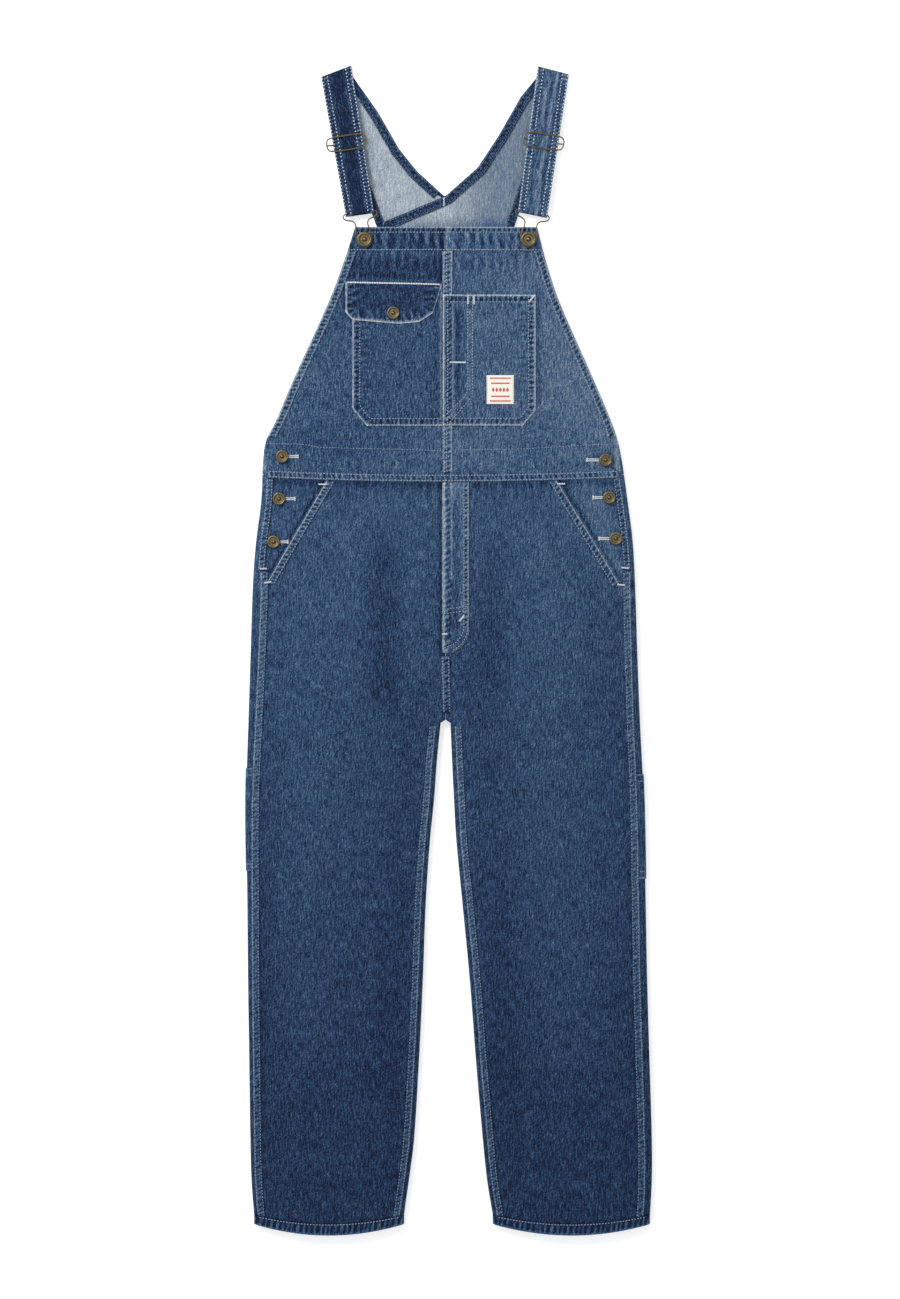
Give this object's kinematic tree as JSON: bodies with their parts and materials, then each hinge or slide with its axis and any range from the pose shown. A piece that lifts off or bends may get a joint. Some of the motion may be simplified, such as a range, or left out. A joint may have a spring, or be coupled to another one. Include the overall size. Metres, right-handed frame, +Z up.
{
  "type": "denim dungarees",
  "caption": "Bib dungarees in worn indigo denim laid flat, with crossed back straps, wire buckles, chest pockets, side buttons and straight legs.",
  "frame": {"origin": "on the floor under the middle of the garment's box", "axes": "+X to the wearer's left, +Y from the hems up to the straps, +Z up through the front"},
  "size_m": [0.5282, 1.5218, 0.0204],
  "materials": {
    "denim": "worn indigo twill, matt",
    "denim_light": "washed indigo twill, matt",
    "denim_inside": "pale inner face of the twill, matt",
    "facing": "unworn dark indigo twill, matt",
    "brass": "antique, dark in the hollows",
    "label": "woven cream patch with plain bars"
  },
  "bodies": {
    "root": {"right_front_leg": "denim", "left_front_leg": "denim", "right_back_leg": "denim", "left_back_leg": "denim", "right_hem": "denim", "left_hem": "denim", "right_outseam": "denim", "left_outseam": "denim", "right_inseam": "denim", "left_inseam": "denim", "right_hip_facing": "denim", "left_hip_facing": "denim", "right_pocket_edge": "denim", "left_pocket_edge": "denim", "right_side_placket": "denim", "left_side_placket": "denim", "right_underlap": "denim", "left_underlap": "denim", "right_tool_pocket": "denim", "left_tool_pocket": "denim", "waist_seam": "denim", "front_rise_seam": "denim", "right_bib": "denim_light", "left_bib": "denim_light", "right_bib_edge": "denim_light", "left_bib_edge": "denim_light", "bib_top_band": "denim_light", "bib_centre_seam": "denim_light", "fly": "denim_light", "flap_pocket": "denim_light", "pocket_flap": "denim_light", "chest_pocket": "denim_light", "back_bib": "denim_light", "right_strap": "denim_light", "left_strap": "denim_light", "right_back_strap": "denim_inside", "left_back_strap": "denim_inside", "right_neck_facing": "facing", "left_neck_facing": "facing", "right_armhole_facing": "facing", "left_armhole_facing": "facing", "right_slider": "brass", "left_slider": "brass", "right_slider_bar": "brass", "left_slider_bar": "brass", "right_buckle": "brass", "left_buckle": "brass", "right_bib_button": "brass", "left_bib_button": "brass", "flap_button": "brass", "right_side_button_1": "brass", "right_side_button_2": "brass", "right_side_button_3": "brass", "left_side_button_1": "brass", "left_side_button_2": "brass", "left_side_button_3": "brass", "label": "label"}
  },
  "joints": []
}
